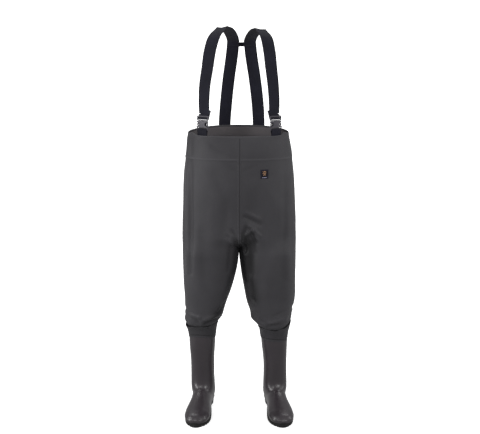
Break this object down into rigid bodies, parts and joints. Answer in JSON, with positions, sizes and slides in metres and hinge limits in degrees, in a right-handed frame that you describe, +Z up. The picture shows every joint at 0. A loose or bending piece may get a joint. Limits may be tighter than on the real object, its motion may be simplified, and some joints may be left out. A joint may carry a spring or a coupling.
{
  "type": "chest waders",
  "caption": "Chest waders with a bib, legs joined to moulded boots, and elastic braces on side-release buckles.",
  "frame": {"origin": "middle point between the shoulders, level with the top of the braces", "axes": "+Z up, -Y the wearer's front, +X the wearer's left"},
  "size_m": [0.4781, 0.4017, 1.6689],
  "materials": {
    "coated_fabric": "matt PVC-coated cloth",
    "seam_tape": "welded tape",
    "webbing": "ribbed elastic webbing",
    "label": "woven label",
    "lining": "knitted lining",
    "insole_foam": "felted foam",
    "boot_pvc": "glossy moulded PVC",
    "sole_rubber": "satin",
    "buckle_plastic": "satin moulded acetal"
  },
  "bodies": {
    "trunk": {"chest_band": "coated_fabric", "chest_band_facing": "coated_fabric", "front_seam_tape": "seam_tape", "back_seam_tape": "seam_tape", "label_patch": "label", "yoke_link": "webbing", "left_trunk_panel": "coated_fabric", "right_trunk_panel": "coated_fabric", "left_hip_fabric": "coated_fabric", "left_front_brace": "webbing", "left_back_brace": "webbing", "left_back_anchor": "coated_fabric", "left_buckle_socket": "buckle_plastic", "left_webbing_loop": "webbing", "right_hip_fabric": "coated_fabric", "right_front_brace": "webbing", "right_back_brace": "webbing", "right_back_anchor": "coated_fabric", "right_buckle_socket": "buckle_plastic", "right_webbing_loop": "webbing"},
    "left_thigh": {"left_leg_fabric": "coated_fabric", "left_knee_fabric": "coated_fabric", "left_inseam_tape": "seam_tape"},
    "left_boot": {"left_boot_cuff": "coated_fabric", "left_boot_upper": "boot_pvc", "left_boot_lining": "lining", "left_boot_insole": "insole_foam", "left_boot_outsole": "sole_rubber"},
    "left_tongue": {"left_buckle_tongue": "buckle_plastic", "left_brace_fold": "webbing"},
    "left_outer_latch": {"left_buckle_outer_arm": "buckle_plastic"},
    "left_inner_latch": {"left_buckle_inner_arm": "buckle_plastic"},
    "right_thigh": {"right_leg_fabric": "coated_fabric", "right_knee_fabric": "coated_fabric", "right_inseam_tape": "seam_tape"},
    "right_boot": {"right_boot_cuff": "coated_fabric", "right_boot_upper": "boot_pvc", "right_boot_lining": "lining", "right_boot_insole": "insole_foam", "right_boot_outsole": "sole_rubber"},
    "right_tongue": {"right_buckle_tongue": "buckle_plastic", "right_brace_fold": "webbing"},
    "right_outer_latch": {"right_buckle_outer_arm": "buckle_plastic"},
    "right_inner_latch": {"right_buckle_inner_arm": "buckle_plastic"}
  },
  "joints": [
    {"name": "left_hip", "type": "hinge", "parent": "trunk", "child": "left_thigh", "pos_m": [0.095, -0.02, -0.865], "axis": [-1, 0, 0], "range_deg": [-15, 45], "deforming": ["left_hip_fabric"]},
    {"name": "left_knee", "type": "hinge", "parent": "left_thigh", "child": "left_boot", "pos_m": [0.15, -0.01, -1.185], "axis": [1, 0, 0], "range_deg": [0, 60], "deforming": ["left_knee_fabric"]},
    {"name": "left_buckle_release", "type": "slide", "parent": "trunk", "child": "left_tongue", "axis": [-0.0452, 0.0641, 0.9969], "range_m": [0, 0.045], "deforming": ["left_front_brace", "left_buckle_outer_arm", "left_buckle_inner_arm"]},
    {"name": "left_outer_squeeze", "type": "hinge", "parent": "left_tongue", "child": "left_outer_latch", "pos_m": [0.16431, -0.07812, -0.37779], "axis": [-0.5749, 0.8145, -0.0785], "range_deg": [0, 13], "stiffness_Nm_per_rad": 0.02},
    {"name": "left_inner_squeeze", "type": "hinge", "parent": "left_tongue", "child": "left_inner_latch", "pos_m": [0.13571, -0.0983, -0.37779], "axis": [0.5749, -0.8145, 0.0785], "range_deg": [0, 13], "stiffness_Nm_per_rad": 0.02},
    {"name": "right_hip", "type": "hinge", "parent": "trunk", "child": "right_thigh", "pos_m": [-0.095, -0.02, -0.865], "axis": [-1, 0, 0], "range_deg": [-15, 45], "deforming": ["right_hip_fabric"]},
    {"name": "right_knee", "type": "hinge", "parent": "right_thigh", "child": "right_boot", "pos_m": [-0.15, -0.01, -1.185], "axis": [1, 0, 0], "range_deg": [0, 60], "deforming": ["right_knee_fabric"]},
    {"name": "right_buckle_release", "type": "slide", "parent": "trunk", "child": "right_tongue", "axis": [0.0452, 0.0641, 0.9969], "range_m": [0, 0.045], "deforming": ["right_front_brace", "right_buckle_outer_arm", "right_buckle_inner_arm"]},
    {"name": "right_outer_squeeze", "type": "hinge", "parent": "right_tongue", "child": "right_outer_latch", "pos_m": [-0.16431, -0.07812, -0.37779], "axis": [-0.5749, -0.8145, 0.0785], "range_deg": [0, 13], "stiffness_Nm_per_rad": 0.02},
    {"name": "right_inner_squeeze", "type": "hinge", "parent": "right_tongue", "child": "right_inner_latch", "pos_m": [-0.13571, -0.0983, -0.37779], "axis": [0.5749, 0.8145, -0.0785], "range_deg": [0, 13], "stiffness_Nm_per_rad": 0.02}
  ],
  "couplings": [
    {"joint": "left_inner_squeeze", "follows": "left_outer_squeeze", "ratio": 1},
    {"joint": "right_inner_squeeze", "follows": "right_outer_squeeze", "ratio": 1}
  ]
}
